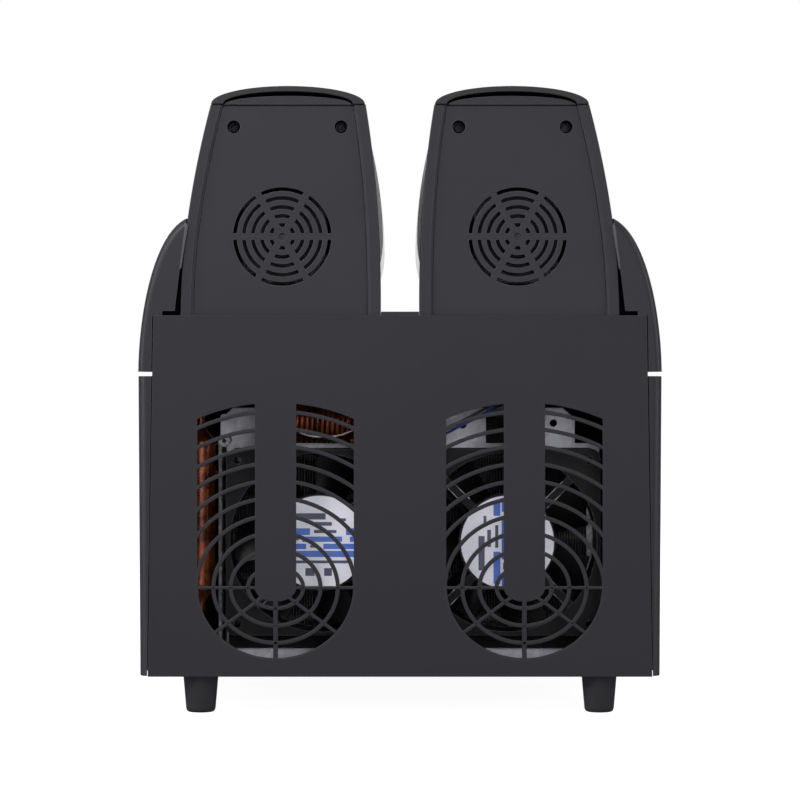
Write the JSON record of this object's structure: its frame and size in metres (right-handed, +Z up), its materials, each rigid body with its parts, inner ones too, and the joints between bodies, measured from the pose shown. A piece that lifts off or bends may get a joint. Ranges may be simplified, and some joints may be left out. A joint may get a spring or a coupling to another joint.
{
  "type": "frozen drink machine",
  "caption": "Counter-top frozen drink machine with side-by-side clear bowls, mixer towers, taps, drip tray and a rear panel with arched cooling grilles.",
  "frame": {"origin": "centre of the bounding box on the plane of the feet's undersides", "axes": "+Z up, front with the taps towards -Y, rear panel with the grilles towards +Y"},
  "size_m": [0.3308, 0.42, 0.3956],
  "materials": {
    "black_plastic": "satin, fine grain",
    "black_metal": "satin powder coat",
    "gloss_plastic": "gloss",
    "rocker_plastic": "satin",
    "white_plastic": "satin",
    "clear_plastic": "clear polycarbonate",
    "rubber": "matte",
    "seal_rubber": "matte",
    "steel": "brushed stainless",
    "galvanised": "zinc coated",
    "aluminium": "mill finish fins",
    "copper": "tarnished copper",
    "motor_metal": "cast",
    "compressor_black": "gloss black paint",
    "fan_metal": "satin black",
    "fan_plastic": "matte",
    "board_green": "solder mask",
    "wire_blue": "PVC"
  },
  "bodies": {
    "housing": {"base_plate": "galvanised", "bowl_seal_left": "seal_rubber", "bowl_seal_right": "seal_rubber", "cable_gland": "black_plastic", "capillary_coil": "copper", "compressor": "compressor_black", "condenser": "aluminium", "control_board": "board_green", "control_panel": "gloss_plastic", "deck": "black_plastic", "discharge_line": "copper", "evaporator_left": "steel", "evaporator_right": "steel", "fan_frame_left": "fan_metal", "fan_frame_right": "fan_metal", "fan_shroud": "galvanised", "fan_wires": "wire_blue", "filter_drier": "copper", "foot_front_left": "rubber", "foot_front_right": "rubber", "foot_rear_left": "rubber", "foot_rear_right": "rubber", "front_panel": "black_metal", "gear_motor_left": "motor_metal", "gear_motor_right": "motor_metal", "rear_panel": "black_metal", "shoulder_left": "black_plastic", "shoulder_right": "black_plastic", "side_panel_left": "black_plastic", "side_panel_right": "black_plastic", "suction_line": "copper", "tower_cap_left": "black_plastic", "tower_cap_right": "black_plastic", "tower_cover_left": "black_plastic", "tower_cover_right": "black_plastic", "tower_shell_left": "black_plastic", "tower_shell_right": "black_plastic"},
    "mixer_left": {"auger_left": "white_plastic", "drive_shaft_left": "steel"},
    "bowl_unit_left": {"bowl_left": "clear_plastic", "tap_body_left": "black_plastic", "tap_spring_left": "steel"},
    "lid_unit_left": {"lid_left": "black_plastic"},
    "lever_unit_left": {"tap_lever_left": "black_plastic"},
    "plunger_unit_left": {"tap_plunger_left": "white_plastic"},
    "fan_unit_left": {"fan_rotor_left": "fan_plastic"},
    "mixer_right": {"auger_right": "white_plastic", "drive_shaft_right": "steel"},
    "bowl_unit_right": {"bowl_right": "clear_plastic", "tap_body_right": "black_plastic", "tap_spring_right": "steel"},
    "lid_unit_right": {"lid_right": "black_plastic"},
    "lever_unit_right": {"tap_lever_right": "black_plastic"},
    "plunger_unit_right": {"tap_plunger_right": "white_plastic"},
    "fan_unit_right": {"fan_rotor_right": "fan_plastic"},
    "tray_unit": {"drip_tray": "black_plastic"},
    "grid_unit": {"drip_grid": "steel"},
    "switch_power": {"rocker_power": "rocker_plastic"},
    "switch_left": {"rocker_left": "rocker_plastic"},
    "switch_right": {"rocker_right": "rocker_plastic"}
  },
  "joints": [
    {"name": "mixer_turn_left", "type": "hinge", "parent": "housing", "child": "mixer_left", "pos_m": [-0.0748, 0, 0.302], "axis": [0, 1, 0], "continuous": true},
    {"name": "bowl_slide_left", "type": "slide", "parent": "housing", "child": "bowl_unit_left", "axis": [0, -1, 0], "range_m": [0, 0.235]},
    {"name": "lid_lift_left", "type": "slide", "parent": "bowl_unit_left", "child": "lid_unit_left", "axis": [0, 0, 1], "range_m": [0, 0.08]},
    {"name": "lever_press_left", "type": "hinge", "parent": "bowl_unit_left", "child": "lever_unit_left", "pos_m": [-0.0748, -0.157, 0.306], "axis": [1, 0, 0], "range_deg": [0, 38], "stiffness_Nm_per_rad": 0.25, "springref_deg": -22.92},
    {"name": "plunger_lift_left", "type": "slide", "parent": "bowl_unit_left", "child": "plunger_unit_left", "axis": [0, 0, 1], "range_m": [0, 0.01114], "deforming": ["tap_spring_left"]},
    {"name": "fan_turn_left", "type": "hinge", "parent": "housing", "child": "fan_unit_left", "pos_m": [-0.0688, 0.1563, 0.1063], "axis": [0, 1, 0], "continuous": true},
    {"name": "mixer_turn_right", "type": "hinge", "parent": "housing", "child": "mixer_right", "pos_m": [0.0748, 0, 0.302], "axis": [0, 1, 0], "continuous": true},
    {"name": "bowl_slide_right", "type": "slide", "parent": "housing", "child": "bowl_unit_right", "axis": [0, -1, 0], "range_m": [0, 0.235]},
    {"name": "lid_lift_right", "type": "slide", "parent": "bowl_unit_right", "child": "lid_unit_right", "axis": [0, 0, 1], "range_m": [0, 0.08]},
    {"name": "lever_press_right", "type": "hinge", "parent": "bowl_unit_right", "child": "lever_unit_right", "pos_m": [0.0748, -0.157, 0.306], "axis": [1, 0, 0], "range_deg": [0, 38], "stiffness_Nm_per_rad": 0.25, "springref_deg": -22.92},
    {"name": "plunger_lift_right", "type": "slide", "parent": "bowl_unit_right", "child": "plunger_unit_right", "axis": [0, 0, 1], "range_m": [0, 0.01114], "deforming": ["tap_spring_right"]},
    {"name": "fan_turn_right", "type": "hinge", "parent": "housing", "child": "fan_unit_right", "pos_m": [0.0516, 0.1563, 0.1063], "axis": [0, 1, 0], "continuous": true},
    {"name": "tray_slide", "type": "slide", "parent": "housing", "child": "tray_unit", "axis": [0, -1, 0], "range_m": [0, 0.12]},
    {"name": "grid_lift", "type": "slide", "parent": "tray_unit", "child": "grid_unit", "axis": [0, 0, 1], "range_m": [0, 0.06]},
    {"name": "switch_rock_power", "type": "hinge", "parent": "housing", "child": "switch_power", "pos_m": [0, -0.094, 0.19], "axis": [1, 0, 0], "range_deg": [0, 14]},
    {"name": "switch_rock_left", "type": "hinge", "parent": "housing", "child": "switch_left", "pos_m": [-0.05, -0.094, 0.19], "axis": [1, 0, 0], "range_deg": [-7, 7]},
    {"name": "switch_rock_right", "type": "hinge", "parent": "housing", "child": "switch_right", "pos_m": [0.05, -0.094, 0.19], "axis": [1, 0, 0], "range_deg": [-7, 7]}
  ],
  "couplings": [
    {"joint": "lever_press_left", "follows": "plunger_lift_left", "rad_per_m": 59.524},
    {"joint": "lever_press_right", "follows": "plunger_lift_right", "rad_per_m": 59.524}
  ]
}
